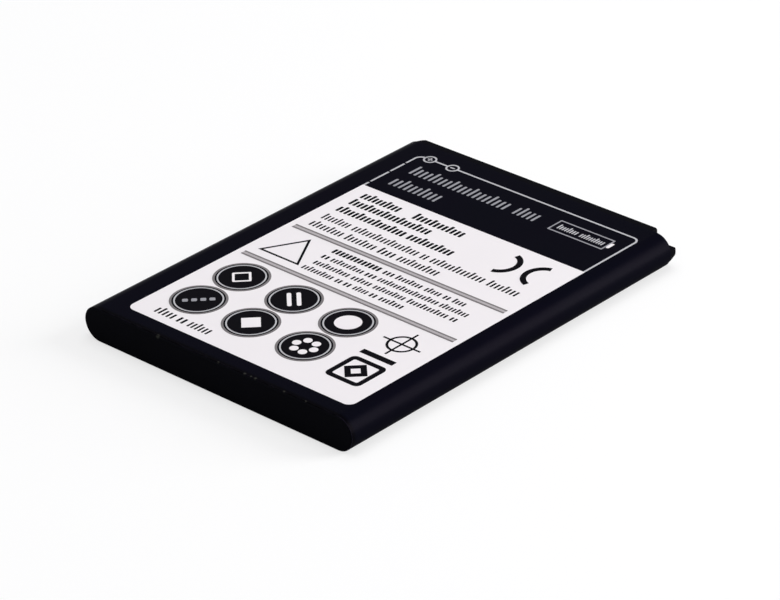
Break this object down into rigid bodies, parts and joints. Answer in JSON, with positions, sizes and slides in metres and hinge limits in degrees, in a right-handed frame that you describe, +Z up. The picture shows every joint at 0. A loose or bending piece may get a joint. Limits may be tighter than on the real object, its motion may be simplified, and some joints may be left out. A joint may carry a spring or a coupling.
{
  "type": "mobile phone battery",
  "caption": "Flat rechargeable phone battery pack: half-round sides, printed film sleeve, moulded contact cap with plated pads at one end and a flat moulded plate at the other.",
  "frame": {"origin": "middle of the face that the pack lies on (label side up), at the bottom centre of its box", "axes": "+Y along the length, towards the contacts; +X across the width; +Z up through the thickness, out of the label face"},
  "size_m": [0.056, 0.075, 0.0059],
  "materials": {
    "printed_film": "satin printed film, black with a pale panel",
    "cap_plastic": "moulded black plastic, fine matt texture",
    "tail_plastic": "moulded black plastic, matt",
    "can_aluminium": "drawn aluminium, satin",
    "gasket_plastic": "natural moulded plastic",
    "terminal_nickel": "nickel-plated, satin",
    "plug_aluminium": "pressed aluminium",
    "adhesive_pad": "thin double-sided foam pad",
    "insulating_paper": "pale green insulating paper",
    "board_laminate": "green solder mask on glass laminate",
    "strip_nickel": "bare nickel strip",
    "fuse_resin": "moulded resin",
    "chip_resin": "moulded resin",
    "resistor_ceramic": "glazed black face with tinned ends",
    "capacitor_ceramic": "tan ceramic with tinned ends",
    "contact_gold": "gold-plated copper, polished"
  },
  "bodies": {
    "root": {"wrap_label": "printed_film", "contact_cap": "cap_plastic", "tail_cap": "tail_plastic", "cell": "can_aluminium", "terminal_gasket": "gasket_plastic", "negative_terminal": "terminal_nickel", "filling_plug": "plug_aluminium", "tail_pad": "adhesive_pad", "cap_pad_left": "adhesive_pad", "cap_pad_right": "adhesive_pad", "insulating_paper": "insulating_paper", "protection_board": "board_laminate", "weld_plate": "strip_nickel", "positive_strip": "strip_nickel", "negative_strip": "strip_nickel", "fuse_lead": "strip_nickel", "thermal_fuse": "fuse_resin", "protection_chip": "chip_resin", "switch_transistor": "chip_resin", "thermistor": "resistor_ceramic", "identity_resistor": "resistor_ceramic", "filter_resistor": "resistor_ceramic", "sense_resistor": "resistor_ceramic", "filter_capacitor": "capacitor_ceramic", "bypass_capacitor": "capacitor_ceramic", "contact_positive": "contact_gold", "contact_negative": "contact_gold", "contact_thermistor": "contact_gold", "contact_identity": "contact_gold"}
  },
  "joints": []
}
